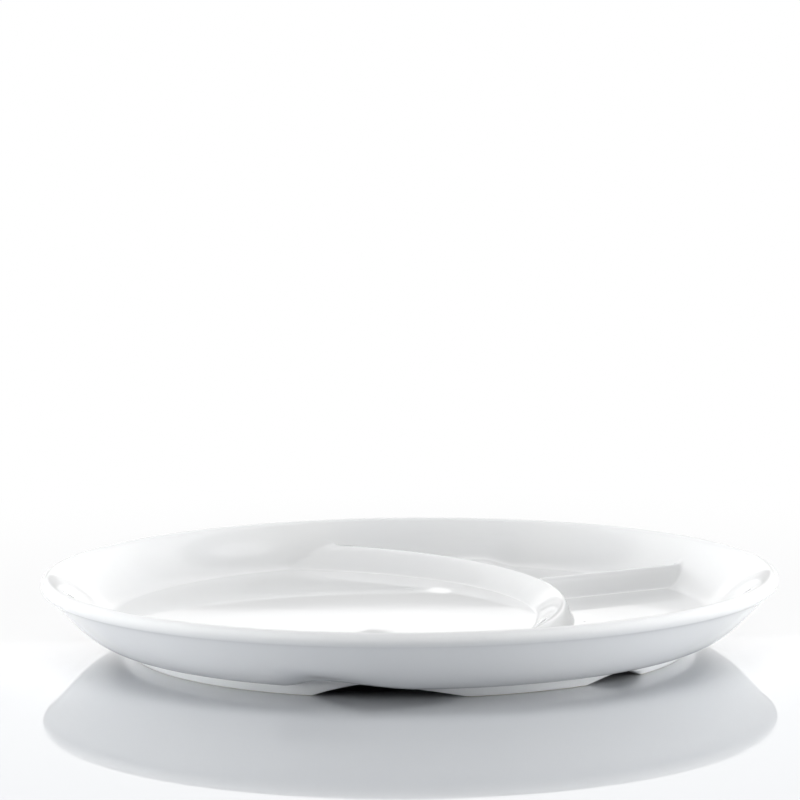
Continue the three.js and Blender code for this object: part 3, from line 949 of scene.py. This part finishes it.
def surround():
    """White all round to the eye. Light comes from above and, low down, from both sides."""
    world = bpy.data.worlds.new("white_surround")
    world.use_nodes = True
    tree = world.node_tree
    tree.nodes.clear()
    light_path = add(tree, "ShaderNodeLightPath")
    camera_ray = Amount(tree, light_path.outputs["Is Camera Ray"])
    glossy_ray = Amount(tree, light_path.outputs["Is Glossy Ray"])
    clear_ray = Amount(tree, light_path.outputs["Is Transmission Ray"])
    way = add(tree, "ShaderNodeSeparateXYZ", {0: add(tree, "ShaderNodeTexCoord").outputs["Generated"]})
    sideways = Amount(tree, way.outputs["X"])
    backward = Amount(tree, way.outputs["Y"])
    upward = Amount(tree, way.outputs["Z"]).above(0.001)
    toward_overhead = (upward * OVERHEAD.z + backward * OVERHEAD.y).above(0.0)
    overhead = toward_overhead.math("POWER", OVERHEAD_FOCUS) * OVERHEAD_STRENGTH
    low = (1 - upward).math("POWER", LOW_FOCUS)
    beside = (sideways * sideways).math("POWER", SIDE_FOCUS) * low * SIDE_STRENGTH
    lit = add(tree, "ShaderNodeBackground", {"Color": linear("#fdfeff"), "Strength": overhead + beside})

    # The glaze mirrors an unlit patch in the ceiling, over the plate and over the camera.
    # It also mirrors the foot of the backdrop, which is dimmer than the lamps over it.
    across_ceiling = (sideways / upward).math("ABSOLUTE")
    along_ceiling = (backward / upward - UNLIT_MIDDLE).math("ABSOLUTE")
    slant = (sideways / backward).math("ABSOLUTE")
    foot_edge = (slant * slant).under(FOOT_BEND_END) * FOOT_BEND + LAMP_EDGE
    over_foot = upward / sideways.across(backward) - foot_edge
    inside = []
    for value, edge, softness, kind in (
        (across_ceiling, UNLIT_HALF_WIDTH, EDGE_SOFTNESS, "SMOOTHSTEP"),
        (along_ceiling, UNLIT_HALF_DEPTH, EDGE_SOFTNESS, "SMOOTHSTEP"),
        (slant, FOOT_HALF_WIDTH, EDGE_SOFTNESS, "SMOOTHSTEP"),
        (over_foot, 0, FOOT_SOFTNESS, "LINEAR"),
    ):
        ends = {"From Min": edge - softness, "From Max": edge + softness, "To Min": 1.0, "To Max": 0.0}
        near = add(tree, "ShaderNodeMapRange", {"Value": value, **ends}, interpolation_type=kind)
        inside.append(Amount(tree, near.outputs[0]))
    in_width, in_depth, in_foot_width, in_foot_height = inside
    unlit = in_width * in_depth * UNLIT_DIMMING
    behind = backward.math("GREATER_THAN", 0.0)
    dimmer = in_foot_width * in_foot_height * behind * FOOT_DIMMING
    white = add(
        tree,
        "ShaderNodeBackground",
        {"Color": (1, 1, 1, 1), "Strength": 1 - (unlit + dimmer) * glossy_ray},
    )
    looked_at = camera_ray.above(glossy_ray).above(clear_ray)
    mixed = add(tree, "ShaderNodeMixShader", {0: looked_at, 1: lit.outputs[0], 2: white.outputs[0]})
    output = add(tree, "ShaderNodeOutputWorld")
    tree.links.new(mixed.outputs[0], output.inputs["Surface"])
    scene.world = world


def camera():
    """Looks at the front of the plate from 1.3 metres away, about ten degrees above the table."""
    data = bpy.data.cameras.new("camera")
    data.sensor_width = 36
    data.lens = CAMERA_LENS
    data.clip_end = 50
    eye = bpy.data.objects.new("camera", data)
    tilt = Matrix.Rotation(math.radians(90) + CAMERA_TILT, 4, "X")
    eye.matrix_world = Matrix.Translation(CAMERA_PLACE) @ tilt @ Matrix.Rotation(CAMERA_ROLL, 4, "Z")
    scene.collection.objects.link(eye)
    scene.camera = eye


def lamps():
    """A lit backdrop, a box at each side, and an oval lamp that shows in the far wall's glaze."""
    foot = FLOOR_HEIGHT + BACKDROP_DISTANCE * LAMP_EDGE
    for name, distance, height, power in (
        ("backdrop_box", BACKDROP_DISTANCE, BACKDROP_HEIGHT, BACKDROP_POWER),
        ("backdrop_strip", BACKDROP_DISTANCE - 0.01, STRIP_HEIGHT, STRIP_POWER),
    ):
        middle = foot + height / 2
        soft_box(name, (0, distance, middle), (0, 0, middle), BACKDROP_WIDTH, height, power)
    for name, x, power in (
        ("left_box", -SIDE_DISTANCE, LEFT_POWER),
        ("right_box", SIDE_DISTANCE, RIGHT_POWER),
    ):
        place = (x, 0.1, SIDE_HEIGHT / 2 + 0.02)
        box = soft_box(name, place, (0, 0, PLATE_HEIGHT), SIDE_WIDTH, SIDE_HEIGHT, power)
        box.visible_glossy = False
    below = (OVAL_PLACE.x, OVAL_PLACE.y, 0)
    oval = soft_box("oval_lamp", OVAL_PLACE, below, OVAL_LENGTH, OVAL_WIDTH, OVAL_POWER, OVAL_TURN)
    oval.data.shape = "ELLIPSE"


table()
surround()
camera()
lamps()
scene.view_settings.view_transform = "Standard"
